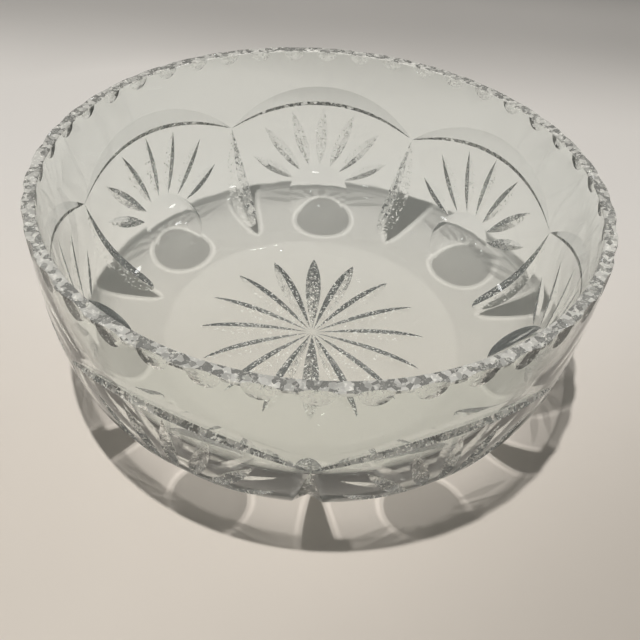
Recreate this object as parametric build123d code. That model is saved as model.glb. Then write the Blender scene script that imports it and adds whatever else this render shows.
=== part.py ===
from build123d import *
import os
from math import cos, sin, radians, degrees, sqrt, tan, atan2

# A cut-crystal punch bowl: one piece of glass, turned inside and out, then cut with grinding wheels.
# Millimetres. +Z is up. The origin is the centre of the flat base that the bowl stands on.

# Turned body
rim_radius = 115.0
bowl_height = 95.0
base_radius = 62.0            # flat that the bowl stands on
heel_pull = 52.0              # how far the outside runs on from the base before it turns up
heel_rise = 10.5              # degrees the outside lifts as it leaves the base
wall_pull = 67.0              # how far down from the rim the outside stays upright
rim_thickness = 5.0
floor_thickness = 9.0
floor_inset = 6.0             # the inside floor's flat is this much smaller in radius than the base
floor_pull = 50.0
floor_rise = 11.0             # degrees
inner_wall_pull = 63.0
rim_round = 0.8               # rounding of the rim's inner edge

# Pattern on the wall: the same panel seven times round
panel_count = 7
panel_turn = 1.5              # degrees the whole pattern is turned from +Y

# Round hollow on the heel, in the middle of each panel
hollow_height = 15.3
hollow_radius = 17.2
hollow_wheel_radius = 52.0

# Fan of straight mitres that spreads upwards from each hollow
fan_rays = 7
fan_pitch = 19.5              # degrees between rays
fan_start = 17.5              # from the hollow's centre, measured on the glass
fan_gap = 3.4                 # left between the tallest ray's tip and the arch
fan_outer_cut = 6.5           # the two lowest rays are this much shorter
fan_vee = 58.0                # half angle of the wheel's edge, degrees

# Arch over each fan: a thin vee with a wide bevel above it
plain_band = 19.7             # uncut glass from the rim down to the bevel's crown
bevel_width = 8.6             # at the crown
arch_rise = 13.1              # from the arch's feet to its crown
arch_depth = 1.5
arch_lip = 3.0                # height of the vee's steep lower side
arch_stations = 9
arch_overrun = 1.03           # the wheel runs on past each foot, clear of the glass

# Long leaf-shaped mitre over the heel, between panels, that starts at the arches' feet
leaf_tip_height = 5.4
leaf_middle_height = 19.0
leaf_depth = 3.0
leaf_vee = 65.0
leaf_overrun = 6.0            # degrees the wheel runs on past each end, clear of the glass

# Thumb cuts round the outside of the rim
scallop_count = 42
scallop_radius = 6.3
scallop_bite = 0.9

# Star under the base
star_rays = 16
star_turn = 2.0               # degrees
star_margin = 7.3             # flat ring left round the star
star_tip_length = 13.7        # from a ray's tip in to its widest place
star_start = 1.5
star_width = 7.8
star_depth = 2.5

clear = 12.0                  # how far a cutter stands out of the glass

bevel_crown_height = bowl_height - plain_band
arch_crown_height = bevel_crown_height - bevel_width
arch_foot_height = arch_crown_height - arch_rise
floor_radius = base_radius - floor_inset
star_radius = base_radius - star_margin


def outer_line():
    lift = radians(heel_rise)
    return Bezier(
        (base_radius, 0),
        (base_radius + heel_pull * cos(lift), heel_pull * sin(lift)),
        (rim_radius, bowl_height - wall_pull),
        (rim_radius, bowl_height),
    )


def inner_line():
    lift = radians(floor_rise)
    inner_rim = rim_radius - rim_thickness
    return Bezier(
        (floor_radius, floor_thickness),
        (floor_radius + floor_pull * cos(lift), floor_thickness + floor_pull * sin(lift)),
        (inner_rim, bowl_height - inner_wall_pull),
        (inner_rim, bowl_height - rim_round),
    )


outside = outer_line()


def turned_body():
    inner_rim = rim_radius - rim_thickness
    outline = Curve() + [
        Line((0, 0), (base_radius, 0)),
        outside,
        Line((rim_radius, bowl_height), (inner_rim + rim_round, bowl_height)),
        RadiusArc((inner_rim + rim_round, bowl_height), (inner_rim, bowl_height - rim_round), -rim_round),
        inner_line(),
        Line((floor_radius, floor_thickness), (0, floor_thickness)),
        Line((0, floor_thickness), (0, 0)),
    ]
    return revolve(Plane.XZ * make_face(outline), Axis.Z)


def along_at(height):
    """Length up the outside from the base's edge to a height."""
    low, high = 0.0, outside.length
    while high - low > 1e-6:
        middle = (low + high) / 2
        if outside.position_at(middle, PositionMode.LENGTH).Y < height:
            low = middle
        else:
            high = middle
    return low


def around(bearing):
    return Vector(cos(radians(bearing)), sin(radians(bearing)), 0)


def on_wall(across, along, bearing):
    """Point on the outside, and the outward normal there. across is measured round the bowl."""
    point = outside.position_at(along, PositionMode.LENGTH)
    run = outside.tangent_at(along, PositionMode.LENGTH)
    out = around(bearing + degrees(across / point.X))
    up = Vector(0, 0, 1)
    return out * point.X + up * point.Y, out * run.Y - up * run.X


def vee_bar(start, end, outward, half_angle):
    """Straight bar with a vee edge whose keel runs from start to end."""
    run = (end - start).normalized()
    side = outward.cross(run).normalized()
    half = clear * tan(radians(half_angle))
    frame = Plane(origin=start - run * clear, x_dir=side, z_dir=run)
    section = frame * make_face(Polyline((0, 0), (half, clear), (-half, clear), close=True))
    return extrude(section, amount=(end - start).length + 2 * clear)


def fan(bearing):
    middle = along_at(hollow_height)
    full_reach = along_at(arch_crown_height) - fan_gap - middle
    bars = []
    for place in range(fan_rays):
        lean = radians((place - (fan_rays - 1) / 2) * fan_pitch)
        reach = full_reach - (fan_outer_cut if place in (0, fan_rays - 1) else 0)
        low, low_out = on_wall(fan_start * sin(lean), middle + fan_start * cos(lean), bearing)
        high, high_out = on_wall(reach * sin(lean), middle + reach * cos(lean), bearing)
        bars.append(vee_bar(low, high, low_out + high_out, fan_vee))
    return bars


def hollow(bearing):
    """Round-edged wheel laid up the slope of the heel."""
    middle = along_at(hollow_height)
    above, _ = on_wall(0, middle + hollow_radius, bearing)
    below, _ = on_wall(0, middle - hollow_radius, bearing)
    slope = (above - below).normalized()
    outward = slope.cross(around(bearing + 90)) * -1
    centre = (above + below) / 2 + outward * hollow_wheel_radius
    return Plane(origin=centre, z_dir=slope) * Cylinder(hollow_wheel_radius, 4 * hollow_radius)


def circle_through(first, second, third):
    """Centre and radius of the circle through three points of a plane."""
    (ax, ay), (bx, by), (cx, cy) = first, second, third
    twice = 2 * (ax * (by - cy) + bx * (cy - ay) + cx * (ay - by))
    a2, b2, c2 = ax**2 + ay**2, bx**2 + by**2, cx**2 + cy**2
    x = (a2 * (by - cy) + b2 * (cy - ay) + c2 * (ay - by)) / twice
    y = (a2 * (cx - bx) + b2 * (ax - cx) + c2 * (bx - ax)) / twice
    return x, y, sqrt((ax - x) ** 2 + (ay - y) ** 2)


def leaf(bearing):
    """Vee swept on an arc, in the upright plane at this bearing, from the arch's foot to under the heel."""
    def spot(height, depth=0.0):
        along = along_at(height)
        point = outside.position_at(along, PositionMode.LENGTH)
        run = outside.tangent_at(along, PositionMode.LENGTH)
        return point.X - depth * run.Y, point.Y + depth * run.X

    top, tip = spot(arch_foot_height), spot(leaf_tip_height)
    x, z, radius = circle_through(top, spot(leaf_middle_height, leaf_depth), tip)
    out, up = around(bearing), Vector(0, 0, 1)
    start = atan2(tip[1] - z, tip[0] - x) - radians(leaf_overrun)
    sweep = degrees(atan2(top[1] - z, top[0] - x) - start) + leaf_overrun
    arm = out * cos(start) + up * sin(start)
    side = around(bearing + 90) * -1
    frame = Plane(origin=out * x + up * z, x_dir=arm, z_dir=arm.cross(side))
    half = clear * tan(radians(leaf_vee))
    section = make_face(Polyline((radius, 0), (radius + clear, half), (radius + clear, -half), close=True))
    return revolve(frame * section, Axis(frame.origin, side), revolution_arc=sweep)


def arch(bearing):
    """Loft of upright triangles: steep below the keel, a long bevel above it, no depth at the feet."""
    span = radians(180 / panel_count) * rim_radius

    def height_on(crown, across):
        rise = crown - arch_foot_height
        radius = (span**2 + rise**2) / (2 * rise)
        return crown - radius + sqrt(radius**2 - across**2)

    bevel = Vector(arch_depth, 0, bevel_crown_height - arch_crown_height)
    lip = Vector(arch_depth, 0, -arch_lip)
    stand_out = 1.25
    sections = []
    for station in range(arch_stations):
        across = span * arch_overrun * (2 * station / (arch_stations - 1) - 1)
        keel_height = height_on(arch_crown_height, across)
        share = (height_on(bevel_crown_height, across) - keel_height) / bevel.Z
        wall = outside.position_at(along_at(keel_height), PositionMode.LENGTH).X
        keel = Vector(wall - arch_depth * share, 0, keel_height)
        corners = [keel, keel + bevel * stand_out, keel + lip * stand_out]
        turn = bearing + degrees(across / rim_radius)
        sections.append(Wire.make_polygon([c.rotate(Axis.Z, turn) for c in corners], close=True))
    return Solid.make_loft(sections)


def scallop(bearing):
    """Ball-edged wheel that bites the rim's outer edge."""
    ball = (scallop_radius**2 + scallop_bite**2) / (2 * scallop_bite)
    centre = around(bearing) * (rim_radius + ball - scallop_bite) + Vector(0, 0, bowl_height)
    return Pos(*centre) * Sphere(ball)


def star_ray(bearing):
    """Kite-shaped pyramid, point up, on the underside of the base."""
    grow = 1 + clear / star_depth
    wide_at = star_radius - star_tip_length
    apex = Vector(wide_at, 0, star_depth)
    rim = [(star_start, 0), (wide_at, -star_width / 2), (star_radius, 0), (wide_at, star_width / 2)]
    kite = [apex + (Vector(x, y, 0) - apex) * grow for x, y in rim]
    sides = [(apex, kite[n], kite[n - 1]) for n in range(4)]
    faces = [Face(Wire.make_polygon(corners, close=True)) for corners in [kite] + sides]
    return Solid(Shell(faces)).rotate(Axis.Z, bearing)


def bowl():
    body = turned_body()
    for panel in range(panel_count):
        middle = 90 + panel_turn + panel * 360 / panel_count
        between = middle + 180 / panel_count
        body = body - [hollow(middle), leaf(between)] - fan(middle) - arch(middle)
    body = body - [scallop(90 + panel_turn + n * 360 / scallop_count) for n in range(scallop_count)]
    return body - [star_ray(90 + star_turn + n * 360 / star_rays) for n in range(star_rays)]


os.makedirs("parts", exist_ok=True)
export_step(bowl(), "parts/bowl.step")
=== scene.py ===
"""A cut-crystal punch bowl: one piece of glass, turned inside and out, then cut on grinding wheels.

The body is a turned shell. Each kind of wheel cut is a closed cutter whose keel follows the glass at a set
depth, so a cut is widest where the wheel went deepest and runs out to a point at both ends.
"""
import math

import bmesh
import bpy
import numpy as np
from mathutils import Matrix, Vector


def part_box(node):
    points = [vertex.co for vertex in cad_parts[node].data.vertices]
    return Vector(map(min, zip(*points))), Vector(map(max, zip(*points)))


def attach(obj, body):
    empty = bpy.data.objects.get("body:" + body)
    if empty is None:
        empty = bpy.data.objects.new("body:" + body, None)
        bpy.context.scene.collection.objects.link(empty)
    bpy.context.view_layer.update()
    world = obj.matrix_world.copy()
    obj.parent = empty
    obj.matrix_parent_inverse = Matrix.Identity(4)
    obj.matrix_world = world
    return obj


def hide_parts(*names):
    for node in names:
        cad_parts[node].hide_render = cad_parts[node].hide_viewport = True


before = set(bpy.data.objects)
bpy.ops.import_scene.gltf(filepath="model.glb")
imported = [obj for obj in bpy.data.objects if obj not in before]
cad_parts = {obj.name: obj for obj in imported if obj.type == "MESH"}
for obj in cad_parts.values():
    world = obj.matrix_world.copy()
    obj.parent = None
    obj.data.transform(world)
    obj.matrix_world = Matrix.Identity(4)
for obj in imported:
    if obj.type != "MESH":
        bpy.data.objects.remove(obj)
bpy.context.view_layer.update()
LOW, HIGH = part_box("bowl")

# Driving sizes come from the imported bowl; the rest is the cutter's drawing, in its millimetres.
HEIGHT = HIGH.z - LOW.z
MM = HEIGHT / 95
RIM_RADIUS = 115 * MM

BASE_RADIUS = 62 * MM
HEEL_PULL = 52 * MM
HEEL_RISE = math.radians(10.5)
WALL_PULL = 67 * MM
RIM_THICKNESS = 5 * MM
FLOOR_THICKNESS = 9 * MM
FLOOR_RADIUS = 56 * MM
FLOOR_PULL = 50 * MM
FLOOR_RISE = math.radians(11)
INNER_WALL_PULL = 63 * MM
EDGE_ROUND = 0.6 * MM

PANELS = 7
PANEL_TURN = math.radians(1.5)
HOLLOW_HEIGHT = 15.3 * MM
HOLLOW_RADIUS = 17.2 * MM
HOLLOW_WHEEL = 52 * MM
FAN_RAYS = 7
FAN_PITCH = math.radians(19.5)
FAN_START = 17.5 * MM
FAN_REACH = 51.5 * MM
FAN_OUTER_REACH = 45 * MM
FAN_DEPTH = 1.75 * MM
FAN_SPREAD = 1.85
ARCH_FOOT = 53.6 * MM
ARCH_CROWN = 66.7 * MM
BEVEL_CROWN = 75.3 * MM
ARCH_DEPTH = 1.5 * MM
ARCH_LIP = 3.0 * MM
ARCH_RUN_OUT = 0.6            # under 1, the line stays deep until it nears its feet
LEAF_TIP = 5.4 * MM
LEAF_DEPTH = 3.0 * MM
LEAF_SPREAD = 2.15
SCALLOPS = 42
SCALLOP_RADIUS = 6.3 * MM
SCALLOP_BITE = 0.9 * MM
STAR_RAYS = 16
STAR_TURN = math.radians(2)
STAR_START = 1.5 * MM
STAR_RADIUS = 54.7 * MM
STAR_DEPTH = 2.5 * MM
STAR_WIDTH = 7.8 * MM

# Surface kinds, kept on the faces through every cut; a cut's own sides are its kind and the next two
BODY, RIM, INSIDE, HOLLOW, LEAF, ARCH, FAN, SCALLOP, STAR = 0, 2, 5, 10, 20, 30, 40, 50, 60
SIDES = 3
LIP = ARCH + 2

# Finish of each kind: how far its small flats lean, even painted light, painted light in patches, painted
# glints, ripple, roughness, and the share of lamplight that it lets through. The painted light is a white
# diffuse share that stands in for the light that the glass carries along inside it and for sparkle on the
# cuts
FINISH_LAYERS = ("flats", "even_painted_light", "patches", "specks", "ripple", "dull", "passes")
FINISH = {
    BODY: (0, 0, 0, 0, 0, 0, 0.82),
    RIM: (0.9, 0.15, 0.34, 0.2, 0, 0.05, 0.35),
    INSIDE: (0, 0, 0, 0, 0, 0, 0.95),
    HOLLOW: (0, 0, 0, 0, 0, 0, 0.9),
    LEAF: (0.25, 0, 0, 0.85, 1, 0.02, 0.8),
    ARCH: (0, 0.12, 0, 0, 0, 0, 0.7),
    LIP: (0.7, 0.08, 0.4, 0.8, 1, 0.02, 0.7),
    FAN: (0.13, 0, 0, 0.85, 1, 0.02, 0.5),
    SCALLOP: (0.12, 0.05, 0.15, 0.2, 0, 0, 0.6),
    STAR: (0.14, 0, 0, 1.0, 1, 0.02, 0.8),
}
BASE_PASSES = 0.93

# Shade that the hollows and leaves throw on the table, in plan
SHADE_SHIFT = (3.2 * MM, -5.3 * MM, 0)
DISC_PLACE = 98 * MM
DISC_RADIUS = 15.2 * MM
DISC_SHARE = 0.45
WEDGE_SHIFT = (3.2 * MM, -0.4 * MM, 0)
WEDGE_TIP = 84 * MM
WEDGE_HALF_WIDTH = 7.5 * MM
WEDGE_SHARE = 0.02
WEDGE_SWELL = 0.7
SHADE_SOFT = 0.3 * MM
GATHERED = 1.4

# Glass
GLASS_TINT = (0.957, 0.985, 0.965, 1)
GLASS_CLEARNESS = 0.96
GLASS_IOR = 1.55
# White of the painted light mixed into the glass, standing in for light carried inside it and for glints
PAINTED_LIGHT_WHITE = (0.96, 0.94, 0.89, 1)

# Table sheet: where its painted light falls off, in metres, and to what share, and a painted pool of light
# behind the bowl
SHEET_FAR = (0.80, 0.765, 0.735, 1)
SHEET_NEAR = (0.80, 0.73, 0.66, 1)
BEHIND = (0.22, 0.40, 0.62)
BEYOND = (0.43, 0.66, 0.1)
BESIDE = (0.08, 0.30, 0.72)
AHEAD = (0.08, -0.18, 0.86)
WARM_FROM, WARM_TO = 0.16, -0.12
PAINTED_LIGHT_POOL_PLACE = (-0.09, 0.16, 0)
PAINTED_LIGHT_POOL = (0.06, 0.17, 1.18)

# Lamps, in metres and watts
KEY_PLACE = (-0.108, -0.155, 1.534)
KEY_SIZE, KEY_POWER, KEY_COLOUR = 0.037, 17.8, (1.0, 0.985, 0.955)
CEILING_PLACES = [(0.05, 0.9, 1.4), (-0.7, 0.9, 1.6), (0.9, 0.4, 1.5), (-0.5, 0.45, 1.7)]
CEILING_SIZE, CEILING_POWER = 0.014, 0.05
ROOM_LAMPS = (0, 1, 2, 3, 4, 5, 7, 8)
ROOM_LAMP_TURN, ROOM_LAMP_AWAY, ROOM_LAMP_LOW, ROOM_LAMP_STEP = 2.4, 1.1, 0.7, 0.09
ROOM_LAMP_SIZE, ROOM_LAMP_POWER = 0.08, 0.13
ROOM_TONES = ((0.0, (0.72, 0.73, 0.69, 1)), (0.3, (0.37, 0.375, 0.35, 1)), (1.0, (0.06, 0.06, 0.057, 1)))

# Camera, in rim radii and degrees
CAMERA_PLACE = (0, -2.2004, 2.2418)
CAMERA_AIM = (0.0304, 0.1148, 0)
CAMERA_ROLL = 4.83
CAMERA_SENSOR, CAMERA_LENS = 36, 41.54

# Meshing
AROUND = 336
SAME_FACET = math.radians(0.3)
SMOOTH_UP_TO = math.radians(24)


# --- the turned shape -------------------------------------------------------------------------

def bezier(corners, count):
    """Points on a cubic curve through four control corners, evenly spread in its parameter."""
    t = np.linspace(0, 1, count)[:, None]
    a, b, c, d = (np.array(corner, float) for corner in corners)
    return (1 - t) ** 3 * a + 3 * (1 - t) ** 2 * t * b + 3 * (1 - t) * t * t * c + t ** 3 * d


def outside_curve(count):
    return bezier([
        (BASE_RADIUS, 0),
        (BASE_RADIUS + HEEL_PULL * math.cos(HEEL_RISE), HEEL_PULL * math.sin(HEEL_RISE)),
        (RIM_RADIUS, HEIGHT - WALL_PULL),
        (RIM_RADIUS, HEIGHT),
    ], count)


def inside_curve(count):
    inner_rim = RIM_RADIUS - RIM_THICKNESS
    return bezier([
        (FLOOR_RADIUS, FLOOR_THICKNESS),
        (FLOOR_RADIUS + FLOOR_PULL * math.cos(FLOOR_RISE),
         FLOOR_THICKNESS + FLOOR_PULL * math.sin(FLOOR_RISE)),
        (inner_rim, HEIGHT - INNER_WALL_PULL),
        (inner_rim, HEIGHT),
    ], count)


def even(curve, count):
    """The same curve with its points evenly spaced along it."""
    run = np.r_[0, np.cumsum(np.hypot(*np.diff(curve, axis=0).T))]
    at = np.linspace(0, run[-1], count)
    return np.stack([np.interp(at, run, curve[:, 0]), np.interp(at, run, curve[:, 1])], 1)


FINE = outside_curve(4001)
FINE_RUN = np.r_[0, np.cumsum(np.hypot(*np.diff(FINE, axis=0).T))]
FINE_OUT = np.gradient(FINE, FINE_RUN, axis=0) @ np.array([[0, -1], [1, 0]])


def along_at(height):
    """Length up the outside from the base's edge to a height."""
    return float(np.interp(height, FINE[:, 1], FINE_RUN))


def on_wall(across, along, bearing):
    """Points on the outside and outward normals there. across is measured round the bowl, along up it."""
    across, along = np.broadcast_arrays(np.asarray(across, float), np.asarray(along, float))
    radius = np.interp(along, FINE_RUN, FINE[:, 0])
    height = np.interp(along, FINE_RUN, FINE[:, 1])
    out = np.interp(along, FINE_RUN, FINE_OUT[:, 0])
    up = np.interp(along, FINE_RUN, FINE_OUT[:, 1])
    turn = bearing - across / radius
    points = np.stack([radius * np.cos(turn), radius * np.sin(turn), height], -1)
    normals = np.stack([out * np.cos(turn), out * np.sin(turn), up], -1)
    return points, normals / np.linalg.norm(normals, axis=-1, keepdims=True)


# --- meshes -----------------------------------------------------------------------------------

class Shape:
    """Vertices and faces gathered into one mesh, each face with its kind."""

    def __init__(self):
        self.points, self.faces, self.kinds = [], [], []

    def add(self, points, faces, kinds):
        base = sum(len(p) for p in self.points)
        self.points.append(np.asarray(points, float).reshape(-1, 3))
        self.faces += [[base + corner for corner in face] for face in faces]
        self.kinds += list(kinds)

    def made(self, name):
        mesh = bpy.data.meshes.new(name)
        mesh.from_pydata(np.concatenate(self.points).tolist(), [], self.faces)
        kind = mesh.attributes.new("kind", "INT", "FACE")
        kind.data.foreach_set("value", self.kinds)
        piece = bpy.data.objects.new(name, mesh)
        bpy.context.scene.collection.objects.link(piece)
        return piece


def turned_body():
    """Shell of revolution: base, outside, rim with softened edges, inside, floor."""
    shape = Shape()
    angles = np.linspace(0, 2 * math.pi, AROUND, endpoint=False) + math.pi / 2 + PANEL_TURN
    outside = even(outside_curve(2001), 84)
    inside = even(inside_curve(2001), 56)[::-1]
    quarter = np.linspace(0, math.pi / 2, 5)
    edge_out = np.stack([RIM_RADIUS - EDGE_ROUND + EDGE_ROUND * np.cos(quarter),
                         HEIGHT - EDGE_ROUND + EDGE_ROUND * np.sin(quarter)], 1)
    edge_in = np.stack([RIM_RADIUS - RIM_THICKNESS + EDGE_ROUND - EDGE_ROUND * np.sin(quarter),
                        HEIGHT - EDGE_ROUND + EDGE_ROUND * np.cos(quarter)], 1)
    base = np.stack([np.linspace(0, BASE_RADIUS, 7)[1:-1], np.zeros(5)], 1)
    floor = np.stack([np.linspace(FLOOR_RADIUS, 0, 7)[1:-1], np.full(5, FLOOR_THICKNESS)], 1)
    below_edge = HEIGHT - EDGE_ROUND
    outside = outside[outside[:, 1] < below_edge - 1e-9]
    inside = inside[inside[:, 1] < below_edge - 1e-9]
    profile = np.concatenate([base, outside, edge_out, edge_in, inside, floor])
    rim_from = len(base) + len(outside) - 1
    inner_from = rim_from + len(edge_out) + len(edge_in)
    rings = [np.stack([r * np.cos(angles), r * np.sin(angles), np.full(AROUND, z)], 1) for r, z in profile]
    points = np.concatenate(rings + [np.array([[0, 0, 0], [0, 0, FLOOR_THICKNESS]])])
    faces, kinds = [], []
    for row in range(len(profile) - 1):
        for n in range(AROUND):
            m = (n + 1) % AROUND
            here, above = row * AROUND, (row + 1) * AROUND
            faces.append([here + n, here + m, above + m, above + n])
            kinds.append(INSIDE if row >= inner_from else RIM if row >= rim_from else BODY)
    last = (len(profile) - 1) * AROUND
    bottom, top = len(points) - 2, len(points) - 1
    for n in range(AROUND):
        m = (n + 1) % AROUND
        faces += [[bottom, m, n], [top, last + n, last + m]]
        kinds += [BODY, INSIDE]
    shape.add(points, faces, kinds)
    return shape.made("bowl_glass")


def bar(shape, sections, kinds, closed=False):
    """A cutter from equal sections set one after another; kinds has one entry per side."""
    sections = np.asarray(sections, float)
    count, sides = sections.shape[:2]
    faces, kind_list = [], []
    for k in range(count if closed else count - 1):
        here, there = k * sides, (k + 1) % count * sides
        for s in range(sides):
            t = (s + 1) % sides
            faces.append([here + s, here + t, there + t, there + s])
            kind_list.append(kinds[s])
    if not closed:
        faces.append(list(range(sides))[::-1])
        faces.append([(count - 1) * sides + s for s in range(sides)])
        kind_list += [kinds[-1], kinds[-1]]
    shape.add(sections, faces, kind_list)


def lancet(t, rise, fall):
    """How deep a wheel goes along a cut, 0 at both ends and 1 at the deepest place."""
    peak = rise / (rise + fall)
    return t ** rise * (1 - t) ** fall / (peak ** rise * (1 - peak) ** fall)


def vee(shape, points, normals, depths, spread, lift, kind):
    """Cut with a vee-edged wheel: the keel lies depths under the glass, spread is its run per depth."""
    tangents = np.gradient(points, axis=0)
    sides = np.cross(tangents, normals)
    sides /= np.linalg.norm(sides, axis=1, keepdims=True)
    half = ((depths + lift) * spread)[:, None]
    keel = points - normals * depths[:, None]
    left = points + normals * lift - sides * half
    right = points + normals * lift + sides * half
    bar(shape, np.stack([keel, left, right], 1), [kind, kind + 2, kind + 1])


def bearings(count, turn):
    return [math.pi / 2 + turn + n * 2 * math.pi / count for n in range(count)]


# --- the cuts ---------------------------------------------------------------------------------

def cut_hollows(shape):
    """Round hollows on the heel, from a round-edged wheel laid up the slope."""
    middle = along_at(HOLLOW_HEIGHT)
    swing = np.linspace(-30, 30, 31) * math.pi / 180
    for bearing in bearings(PANELS, PANEL_TURN):
        (above, below), _ = on_wall(0, [middle + HOLLOW_RADIUS, middle - HOLLOW_RADIUS], bearing)
        slope = above - below
        slope /= np.linalg.norm(slope)
        side = np.array([-math.sin(bearing), math.cos(bearing), 0])
        out = np.cross(side, slope)
        centre = (above + below) / 2 + out * HOLLOW_WHEEL
        edge = centre + HOLLOW_WHEEL * (np.sin(swing)[:, None] * side - np.cos(swing)[:, None] * out)
        ends = [edge + slope * reach for reach in np.linspace(-1.5, 1.5, 7) * HOLLOW_RADIUS]
        bar(shape, ends, [HOLLOW] * (len(swing) - 1) + [HOLLOW + 1])


def cut_leaves(shape):
    """Long leaf-shaped vees over the heel, from each arch's foot to under the bowl."""
    t = np.linspace(0, 1, 49)
    along = along_at(ARCH_FOOT) * (1 - t) + along_at(LEAF_TIP) * t
    for bearing in bearings(PANELS, PANEL_TURN + math.pi / PANELS):
        points, normals = on_wall(0, along, bearing)
        vee(shape, points, normals, LEAF_DEPTH * lancet(t, 1.0, 0.5), LEAF_SPREAD, 0.25 * MM, LEAF)


def cut_fans(shape):
    """Fans of vees that spread up the wall from each hollow."""
    middle = along_at(HOLLOW_HEIGHT)
    t = np.linspace(0, 1, 17)
    for bearing in bearings(PANELS, PANEL_TURN):
        for place in range(FAN_RAYS):
            step = place - (FAN_RAYS - 1) / 2
            reach = FAN_OUTER_REACH if abs(step) > 2.5 else FAN_REACH
            far = FAN_START + (reach - FAN_START) * t
            lean = step * FAN_PITCH
            points, normals = on_wall(far * math.sin(lean), middle + far * math.cos(lean), bearing)
            vee(shape, points, normals, FAN_DEPTH * lancet(t, 1.0, 1.1), FAN_SPREAD, 0.25 * MM, FAN)


def cut_arches(shape):
    """One scalloped line round the wall: steep below, a long bevel above, nothing at the feet."""
    stations = 36
    span = math.pi / PANELS * RIM_RADIUS

    def height_on(crown, across):
        rise = crown - ARCH_FOOT
        radius = (span ** 2 + rise ** 2) / (2 * rise)
        return crown - radius + math.sqrt(radius ** 2 - across ** 2)

    sections = []
    for bearing in bearings(PANELS, PANEL_TURN):
        for station in range(stations):
            across = span * (1 - 2 * station / stations)
            keel_height = height_on(ARCH_CROWN, across)
            share = (height_on(BEVEL_CROWN, across) - keel_height) / (BEVEL_CROWN - ARCH_CROWN)
            turn = bearing - across / RIM_RADIUS
            wall, out = on_wall(0, along_at(keel_height), turn)
            run_out = max(share, 0.0) ** ARCH_RUN_OUT
            keel = wall - out * ARCH_DEPTH * run_out
            lift = 0.12 * MM
            upper, out = on_wall(0, along_at(keel_height + (BEVEL_CROWN - ARCH_CROWN) * share), turn)
            lower, _ = on_wall(0, along_at(keel_height - ARCH_LIP * run_out - 0.1 * MM), turn)
            over = (upper - keel) * 0.06
            sections.append([keel, upper + over + out * lift, lower + out * lift * 3])
    bar(shape, sections, [ARCH, ARCH + 1, LIP], closed=True)


def cut_scallops(shape):
    """Thumb cuts round the rim's outer edge, from a ball-edged wheel."""
    ball = (SCALLOP_RADIUS ** 2 + SCALLOP_BITE ** 2) / (2 * SCALLOP_BITE)
    rings = [math.radians(3.1) * n for n in range(1, 8)]
    round_about = np.linspace(0, 2 * math.pi, 24, endpoint=False)
    for bearing in bearings(SCALLOPS, PANEL_TURN):
        out = np.array([math.cos(bearing), math.sin(bearing), 0])
        side = np.array([-math.sin(bearing), math.cos(bearing), 0])
        up = np.array([0, 0, 1.0])
        centre = out * (RIM_RADIUS + ball - SCALLOP_BITE) + up * HEIGHT
        points = [centre - out * ball]
        for polar in rings:
            for turn in round_about:
                away = side * math.cos(turn) + up * math.sin(turn)
                points.append(centre + ball * (away * math.sin(polar) - out * math.cos(polar)))
        points.append(centre)
        count, last = len(round_about), len(points) - 1
        faces = [[0, 1 + n, 1 + (n + 1) % count] for n in range(count)]
        kinds = [SCALLOP] * count
        for ring in range(len(rings) - 1):
            for n in range(count):
                here, there, m = 1 + ring * count, 1 + (ring + 1) * count, (n + 1) % count
                faces.append([here + n, there + n, there + m, here + m])
                kinds.append(SCALLOP)
        outer = 1 + (len(rings) - 1) * count
        faces += [[last, outer + (n + 1) % count, outer + n] for n in range(count)]
        kinds += [SCALLOP + 1] * count
        shape.add(points, faces, kinds)


def cut_star(shape):
    """Sixteen-rayed star in the underside."""
    t = np.linspace(0, 1, 33)
    far = STAR_START + (STAR_RADIUS - STAR_START) * t
    spread = STAR_WIDTH / 2 / STAR_DEPTH
    for bearing in bearings(STAR_RAYS, STAR_TURN):
        points = np.stack([far * math.cos(bearing), far * math.sin(bearing), np.zeros_like(far)], 1)
        normals = np.tile([0.0, 0.0, -1.0], (len(far), 1))
        vee(shape, points, normals, STAR_DEPTH * lancet(t, 1.2, 0.85), spread, 0.1 * MM, STAR)


def outward(piece):
    """Faces of a closed cutter turned to face out, whichever way its sections ran."""
    work = bmesh.new()
    work.from_mesh(piece.data)
    bmesh.ops.recalc_face_normals(work, faces=work.faces)
    work.to_mesh(piece.data)
    work.free()


def cut(piece, name, *wheels):
    """Takes one set of cutters that don't touch each other out of the glass."""
    shape = Shape()
    for wheel in wheels:
        wheel(shape)
    cutter = shape.made(name)
    outward(cutter)
    modifier = piece.modifiers.new(name, "BOOLEAN")
    modifier.operation = "DIFFERENCE"
    modifier.solver = "MANIFOLD"
    modifier.object = cutter
    depsgraph = bpy.context.evaluated_depsgraph_get()
    result = bpy.data.meshes.new_from_object(
        piece.evaluated_get(depsgraph), preserve_all_data_layers=True, depsgraph=depsgraph)
    piece.modifiers.clear()
    piece.data = result
    bpy.data.objects.remove(cutter)


def face_kinds(mesh):
    kinds = np.zeros(len(mesh.polygons), np.int32)
    mesh.attributes["kind"].data.foreach_get("value", kinds)
    return kinds


def face_of_corners(mesh):
    sizes = np.zeros(len(mesh.polygons), np.int32)
    mesh.polygons.foreach_get("loop_total", sizes)
    return np.repeat(np.arange(len(sizes)), sizes)


def kind_of_corners(mesh):
    return face_kinds(mesh)[face_of_corners(mesh)]


def corner_points(mesh):
    places = np.zeros(len(mesh.vertices) * 3, np.float32)
    mesh.vertices.foreach_get("co", places)
    corner = np.zeros(len(mesh.loops), np.int32)
    mesh.loops.foreach_get("vertex_index", corner)
    return places.reshape(-1, 3).astype(float)[corner]


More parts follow.
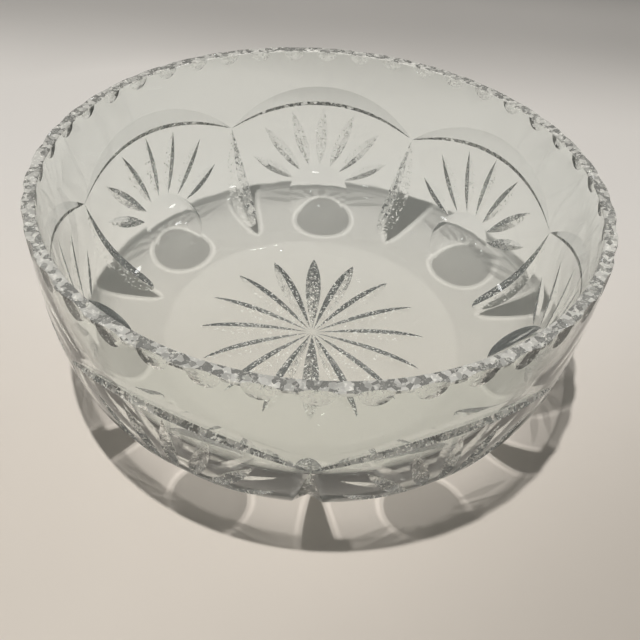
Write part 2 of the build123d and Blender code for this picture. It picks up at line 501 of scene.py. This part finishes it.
def sharpen(mesh, limit):
    """Smooth shading inside each cut; a hard edge wherever two cuts or a cut and the body meet."""
    kinds = face_kinds(mesh)
    normals = np.zeros(len(mesh.polygons) * 3)
    mesh.polygons.foreach_get("normal", normals)
    normals = normals.reshape(-1, 3)
    edge_of = np.zeros(len(mesh.loops), np.int32)
    mesh.loops.foreach_get("edge_index", edge_of)
    face_of = face_of_corners(mesh)
    order = np.argsort(edge_of, kind="stable")
    edges, faces = edge_of[order], face_of[order]
    twin = np.flatnonzero(edges[1:] == edges[:-1])
    a, b = faces[twin], faces[twin + 1]
    bend = (normals[a] * normals[b]).sum(1)
    hard = np.zeros(len(mesh.edges), bool)
    hard[edges[twin]] = (kinds[a] != kinds[b]) & (bend < math.cos(SAME_FACET))
    hard[edges[twin]] |= bend < math.cos(limit)
    mesh.shade_smooth()
    sharp = mesh.attributes.get("sharp_edge") or mesh.attributes.new("sharp_edge", "BOOLEAN", "EDGE")
    sharp.data.foreach_set("value", hard)


def true_normals(mesh):
    """Exact normals on the turned faces and the hollows, so that they refract as smooth surfaces do."""
    normals = np.zeros(len(mesh.loops) * 3, np.float32)
    mesh.corner_normals.foreach_get("vector", normals)
    normals = normals.reshape(-1, 3).astype(float)
    points = corner_points(mesh)
    kind = kind_of_corners(mesh)
    bearing = np.arctan2(points[:, 1], points[:, 0])
    radius = np.hypot(points[:, 0], points[:, 1])
    height = points[:, 2]

    def turned(curve, side):
        run = np.r_[0, np.cumsum(np.hypot(*np.diff(curve, axis=0).T))]
        along = np.gradient(curve, run, axis=0)
        out = np.interp(height, curve[:, 1], along[:, 1]) * side
        up = -np.interp(height, curve[:, 1], along[:, 0]) * side
        return np.stack([out * np.cos(bearing), out * np.sin(bearing), up], 1)

    outer = (kind == BODY) & (height > 0.02 * MM)
    normals[outer] = turned(FINE, 1)[outer]
    inner = (kind == INSIDE) & (height > FLOOR_THICKNESS + 0.02 * MM)
    normals[inner] = turned(inside_curve(4001), -1)[inner]
    flat = (kind == INSIDE) & (radius < FLOOR_RADIUS * 0.999)
    normals[flat] = (0, 0, 1)

    middle = along_at(HOLLOW_HEIGHT)
    for turn in bearings(PANELS, PANEL_TURN):
        (above, below), _ = on_wall(0, [middle + HOLLOW_RADIUS, middle - HOLLOW_RADIUS], turn)
        slope = (above - below) / np.linalg.norm(above - below)
        out = np.cross([-math.sin(turn), math.cos(turn), 0], slope)
        centre = (above + below) / 2 + out * HOLLOW_WHEEL
        near = (kind == HOLLOW) & (np.cos(bearing - turn) > math.cos(math.pi / PANELS))
        away = centre - points[near]
        normals[near] = away - (away @ slope)[:, None] * slope
    normals /= np.linalg.norm(normals, axis=1, keepdims=True)
    mesh.normals_split_custom_set(normals.tolist())


def finish_masks(mesh):
    """One layer for each column of the finish table, and one that tells the outside from the inside."""
    kind = kind_of_corners(mesh)
    height = corner_points(mesh)[:, 2]
    shares = np.zeros((len(kind), len(FINISH_LAYERS)))
    for cut_kind, finish in FINISH.items():
        shares[(kind >= cut_kind) & (kind < cut_kind + SIDES)] = finish
    shares[(kind == BODY) & (height < 2 * MM), -1] = BASE_PASSES
    for name, share in [*zip(FINISH_LAYERS, shares.T), ("outside", kind != INSIDE)]:
        mesh.attributes.new(name, "FLOAT", "CORNER").data.foreach_set("value", share.astype(np.float32))


def bowl_piece():
    piece = turned_body()
    outward(piece)
    cut(piece, "hollows_and_leaves", cut_hollows, cut_leaves)
    cut(piece, "arches", cut_arches)
    cut(piece, "fans_rim_and_star", cut_fans, cut_scallops, cut_star)
    finish_masks(piece.data)
    sharpen(piece.data, SMOOTH_UP_TO)
    true_normals(piece.data)
    return piece


# --- materials --------------------------------------------------------------------------------

class Nodes:
    """Adds and joins the nodes of one tree."""

    def __init__(self, tree):
        self.tree = tree

    def add(self, kind, **settings):
        node = self.tree.nodes.new(kind)
        for key, value in settings.items():
            setattr(node, key, value)
        return node

    def feed(self, value, socket):
        """Links an output to a socket, or writes a plain value in it."""
        if isinstance(value, bpy.types.NodeSocket):
            self.tree.links.new(value, socket)
        else:
            socket.default_value = value

    def maths(self, operation, *values):
        node = self.add("ShaderNodeMath", operation=operation)
        for value, socket in zip(values, node.inputs):
            self.feed(value, socket)
        return node.outputs[0]

    def vector_maths(self, operation, *values):
        node = self.add("ShaderNodeVectorMath", operation=operation)
        for value, socket in zip(values, node.inputs):
            self.feed(value, socket)
        return node.outputs["Value" if operation == "DISTANCE" else "Vector"]

    def ramp(self, value, near, far, low, high, smooth=False):
        node = self.add("ShaderNodeMapRange", interpolation_type="SMOOTHSTEP" if smooth else "LINEAR")
        for name, number in (("From Min", near), ("From Max", far), ("To Min", low), ("To Max", high)):
            node.inputs[name].default_value = number
        self.feed(value, node.inputs["Value"])
        return node.outputs["Result"]

    def axes(self, vector):
        node = self.add("ShaderNodeSeparateXYZ")
        self.feed(vector, node.inputs[0])
        return node.outputs["X"], node.outputs["Y"], node.outputs["Z"]

    def place(self):
        return self.add("ShaderNodeTexCoord").outputs["Object"]

    def layer(self, name):
        return self.add("ShaderNodeAttribute", attribute_name=name).outputs["Fac"]

    def noise(self, scale, detail):
        node = self.add("ShaderNodeTexNoise")
        node.inputs["Scale"].default_value = scale
        node.inputs["Detail"].default_value = detail
        self.feed(self.place(), node.inputs["Vector"])
        return node.outputs["Fac"]

    def cells(self, scale):
        """A random colour for each small cell."""
        node = self.add("ShaderNodeTexVoronoi")
        node.inputs["Scale"].default_value = scale
        self.feed(self.place(), node.inputs["Vector"])
        return node.outputs["Color"]

    def bump(self, height, strength, distance, normal):
        node = self.add("ShaderNodeBump")
        node.inputs["Distance"].default_value = distance
        self.feed(strength, node.inputs["Strength"])
        self.feed(height, node.inputs["Height"])
        self.feed(normal, node.inputs["Normal"])
        return node.outputs["Normal"]

    def mixed(self, share, first, second):
        node = self.add("ShaderNodeMixShader")
        self.feed(share, node.inputs["Fac"])
        self.feed(first, node.inputs[1])
        self.feed(second, node.inputs[2])
        return node.outputs["Shader"]

    def surface(self, shader):
        self.feed(shader, self.add("ShaderNodeOutputMaterial").inputs["Surface"])


def new_material(name):
    material = bpy.data.materials.new(name)
    material.use_nodes = True
    material.node_tree.nodes.clear()
    return material, Nodes(material.node_tree)


def thrown_shade(nodes):
    """Share of lamplight that reaches the table: little through the hollows and leaves, more beside them."""
    maths, ramp, place = nodes.maths, nodes.ramp, nodes.place()

    def length(a, b):
        return maths("SQRT", maths("ADD", maths("MULTIPLY", a, a), maths("MULTIPLY", b, b)))

    def folded(turn, shift):
        """Distance from the axis, and distance round the bowl from the nearest panel's middle."""
        x, y, _ = nodes.axes(nodes.vector_maths("SUBTRACT", place, shift))
        far = length(x, y)
        pitch = 2 * math.pi / PANELS
        turns = maths("DIVIDE", maths("SUBTRACT", maths("ARCTAN2", y, x), math.pi / 2 + turn), pitch)
        from_middle = maths("SUBTRACT", maths("FRACT", maths("ADD", turns, 20.5)), 0.5)
        return far, maths("MULTIPLY", maths("MULTIPLY", from_middle, pitch), far)

    far, across = folded(PANEL_TURN, SHADE_SHIFT)
    disc = maths("SUBTRACT", length(across, maths("SUBTRACT", far, DISC_PLACE)), DISC_RADIUS)
    far, across = folded(PANEL_TURN + math.pi / PANELS, WEDGE_SHIFT)
    swell = maths("POWER", ramp(far, WEDGE_TIP, RIM_RADIUS, 0.0, 1.0), WEDGE_SWELL)
    before_tip = maths("MAXIMUM", maths("SUBTRACT", WEDGE_TIP, far), 0.0)
    beside_wedge = maths("SUBTRACT", maths("ABSOLUTE", across), maths("MULTIPLY", swell, WEDGE_HALF_WIDTH))
    wedge = maths("ADD", beside_wedge, before_tip)
    in_disc = ramp(disc, -SHADE_SOFT, SHADE_SOFT, DISC_SHARE, 1.0)
    in_wedge = ramp(wedge, -SHADE_SOFT, SHADE_SOFT, WEDGE_SHARE, 1.0)
    beside = maths("MINIMUM", disc, wedge)
    ring = maths("MULTIPLY", ramp(beside, 0.4 * MM, 1.8 * MM, 0.6, GATHERED),
                 ramp(beside, 2.4 * MM, 4.0 * MM, 1.0, 0.6))
    return maths("MULTIPLY", maths("MULTIPLY", in_disc, in_wedge), maths("MAXIMUM", ring, 1.0))


def facet_normal(nodes):
    """Small flats that the wheel leaves lean each its own way; the turned glass swells a little."""
    lean = nodes.vector_maths("SUBTRACT", nodes.cells(520), (0.5, 0.5, 0.5))
    scaled = nodes.add("ShaderNodeVectorMath", operation="SCALE")
    nodes.feed(lean, scaled.inputs[0])
    nodes.feed(nodes.layer("flats"), scaled.inputs["Scale"])
    smooth = nodes.add("ShaderNodeNewGeometry").outputs["Normal"]
    facets = nodes.vector_maths("NORMALIZE", nodes.vector_maths("ADD", smooth, scaled.outputs[0]))
    swollen = nodes.bump(nodes.noise(28, 1), 0.12, 0.002, facets)
    return nodes.bump(nodes.noise(1500, 2), nodes.layer("ripple"), 0.00012, swollen)


def painted_light_share(nodes):
    """Painted light on the glass: an even white share, a share in patches, and bright spots that stand in
    for glints.
    """
    red = nodes.add("ShaderNodeSeparateColor")
    nodes.feed(nodes.cells(480), red.inputs[0])
    patch = nodes.ramp(red.outputs[0], 0.35, 0.75, 0.0, 1.0)
    painted_glint = nodes.ramp(nodes.noise(900, 1), 0.60, 0.65, 0.0, 1.0)
    even_and_patchy_light = nodes.maths("MULTIPLY_ADD", patch, nodes.layer("patches"), nodes.layer("even_painted_light"))
    return nodes.maths("MULTIPLY_ADD", painted_glint, nodes.layer("specks"), even_and_patchy_light)


def lamplight_share(nodes):
    """Lamplight let through: less where it grazes the wall, least through hollows and leaves."""
    facing = nodes.add("ShaderNodeLayerWeight")
    facing.inputs["Blend"].default_value = 0.5
    grazing = nodes.ramp(facing.outputs["Facing"], 0.25, 0.9, 1.0, 0.76)
    share = nodes.maths("MULTIPLY", nodes.layer("passes"), grazing)
    only_outside = nodes.add("ShaderNodeMix", data_type="FLOAT")
    only_outside.inputs["A"].default_value = 1.0
    nodes.feed(nodes.layer("outside"), only_outside.inputs["Factor"])
    nodes.feed(thrown_shade(nodes), only_outside.inputs["B"])
    return nodes.maths("MULTIPLY", share, only_outside.outputs["Result"])


def crystal():
    material, nodes = new_material("polished_crystal")
    glass = nodes.add("ShaderNodeBsdfPrincipled")
    glass.inputs["Base Color"].default_value = GLASS_TINT
    glass.inputs["Transmission Weight"].default_value = GLASS_CLEARNESS
    glass.inputs["IOR"].default_value = GLASS_IOR
    nodes.feed(facet_normal(nodes), glass.inputs["Normal"])
    nodes.feed(nodes.layer("dull"), glass.inputs["Roughness"])
    # White diffuse mixed into the glass: painted light and painted glints, not a fault in the polish
    painted_light = nodes.add("ShaderNodeBsdfDiffuse")
    painted_light.inputs["Color"].default_value = PAINTED_LIGHT_WHITE
    cut_glass = nodes.mixed(painted_light_share(nodes), glass.outputs["BSDF"], painted_light.outputs["BSDF"])
    clear = nodes.add("ShaderNodeBsdfTransparent")
    nodes.feed(lamplight_share(nodes), clear.inputs["Color"])
    shadow_ray = nodes.add("ShaderNodeLightPath").outputs["Is Shadow Ray"]
    nodes.surface(nodes.mixed(shadow_ray, cut_glass, clear.outputs["BSDF"]))
    return material


def table_top():
    """Off-white sheet with painted light: a little darker where the lamp's light thins out behind and to the
    front right, and a painted pool of brighter light just behind the bowl.
    """
    material, nodes = new_material("table_top")
    x, y, _ = nodes.axes(nodes.place())

    def falloff(value, near, far, share):
        return nodes.ramp(value, near, far, 1.0, share, smooth=True)

    tone = nodes.ramp(nodes.noise(9, 4), 0.0, 1.0, 0.96, 1.04)
    # Painted pool of brighter light on the sheet just behind the bowl
    from_light_pool = nodes.vector_maths("DISTANCE", nodes.place(), PAINTED_LIGHT_POOL_PLACE)
    near, far, brighter = PAINTED_LIGHT_POOL
    across = nodes.maths("SUBTRACT", x, y)
    for part in (falloff(y, *BEHIND), falloff(y, *BEYOND), falloff(across, *BESIDE), falloff(y, *AHEAD),
                 nodes.ramp(from_light_pool, near, far, brighter, 1.0, smooth=True)):
        tone = nodes.maths("MULTIPLY", tone, part)
    sheet = nodes.add("ShaderNodeMix", data_type="RGBA")
    sheet.inputs["A"].default_value = SHEET_FAR
    sheet.inputs["B"].default_value = SHEET_NEAR
    nodes.feed(nodes.ramp(y, WARM_FROM, WARM_TO, 0.0, 1.0, smooth=True), sheet.inputs["Factor"])
    colour = nodes.add("ShaderNodeMix", data_type="RGBA")
    colour.inputs["A"].default_value = (0.0, 0.0, 0.0, 1)
    nodes.feed(sheet.outputs["Result"], colour.inputs["B"])
    nodes.feed(tone, colour.inputs["Factor"])
    paper = nodes.add("ShaderNodeBsdfPrincipled")
    paper.inputs["Roughness"].default_value = 0.6
    nodes.feed(colour.outputs["Result"], paper.inputs["Base Color"])
    nodes.surface(paper.outputs["BSDF"])
    return material


# --- stage ------------------------------------------------------------------------------------

def table():
    """Pale sheet that lies flat under the bowl and sweeps up behind it."""
    bend, start, width, ahead, top = 0.6, 0.55, 2.0, -2.5, 2.5
    turn = np.linspace(0, math.pi / 2, 25)
    arc = [(start + bend * math.sin(a), bend * (1 - math.cos(a))) for a in turn]
    line = [(ahead, 0)] + arc + [(start + bend, top)]
    mesh = bpy.data.meshes.new("table")
    points = [(x, y, z) for y, z in line for x in (-width, width)]
    faces = [[2 * n, 2 * n + 1, 2 * n + 3, 2 * n + 2] for n in range(len(line) - 1)]
    mesh.from_pydata(points, [], faces)
    mesh.shade_smooth()
    floor = bpy.data.objects.new("table", mesh)
    bpy.context.scene.collection.objects.link(floor)
    floor.location.z = LOW.z - 0.0002
    mesh.materials.append(table_top())


def lamp(name, place, size, power, colour=(1, 1, 1)):
    """Round lamp that points at the middle of the base."""
    data = bpy.data.lights.new(name, "AREA")
    data.shape = "DISK"
    data.size = size
    data.energy = power
    data.color = colour
    light = bpy.data.objects.new(name, data)
    bpy.context.scene.collection.objects.link(light)
    light.location = place
    light.rotation_euler = (-Vector(place)).to_track_quat("-Z", "Y").to_euler()
    return light


def room():
    """World: a pale room round the table, dim overhead."""
    world = bpy.data.worlds.new("room")
    world.use_nodes = True
    nodes = Nodes(world.node_tree)
    tones = nodes.add("ShaderNodeValToRGB")
    _, _, up = nodes.axes(nodes.add("ShaderNodeTexCoord").outputs["Generated"])
    nodes.feed(up, tones.inputs["Fac"])
    nodes.feed(tones.outputs["Color"], world.node_tree.nodes["Background"].inputs["Color"])
    stops = tones.color_ramp.elements
    stops.new(ROOM_TONES[1][0])
    for stop, (position, tone) in zip(stops, ROOM_TONES):
        stop.position, stop.color = position, tone
    return world


def lights():
    key = lamp("key", KEY_PLACE, KEY_SIZE, KEY_POWER, KEY_COLOUR)
    key.visible_glossy = False
    key.visible_transmission = False
    for n, spot in enumerate(CEILING_PLACES):
        lamp("ceiling_lamp_%d" % n, spot, CEILING_SIZE, CEILING_POWER)
    for n in ROOM_LAMPS:
        turn = n * ROOM_LAMP_TURN
        spot = (ROOM_LAMP_AWAY * math.cos(turn), ROOM_LAMP_AWAY * math.sin(turn),
                ROOM_LAMP_LOW + ROOM_LAMP_STEP * n)
        small = lamp("room_lamp_%d" % n, spot, ROOM_LAMP_SIZE, ROOM_LAMP_POWER)
        small.visible_diffuse = False
    bpy.context.scene.world = room()
    bpy.context.scene.view_settings.view_transform = "Standard"


def camera():
    data = bpy.data.cameras.new("camera")
    data.sensor_width = CAMERA_SENSOR
    data.lens = CAMERA_LENS
    data.clip_start = 0.01
    view = bpy.data.objects.new("camera", data)
    bpy.context.scene.collection.objects.link(view)
    place = Vector(CAMERA_PLACE) * RIM_RADIUS
    aim = Vector(CAMERA_AIM) * RIM_RADIUS
    look = (aim - place).to_track_quat("-Z", "Y").to_matrix().to_4x4()
    roll = Matrix.Rotation(math.radians(CAMERA_ROLL), 4, "Z")
    view.matrix_world = Matrix.Translation(place) @ look @ roll
    bpy.context.scene.camera = view


bowl = bowl_piece()
bowl.data.materials.clear()
bowl.data.materials.append(crystal())
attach(bowl, "root")
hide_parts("bowl")
table()
lights()
camera()
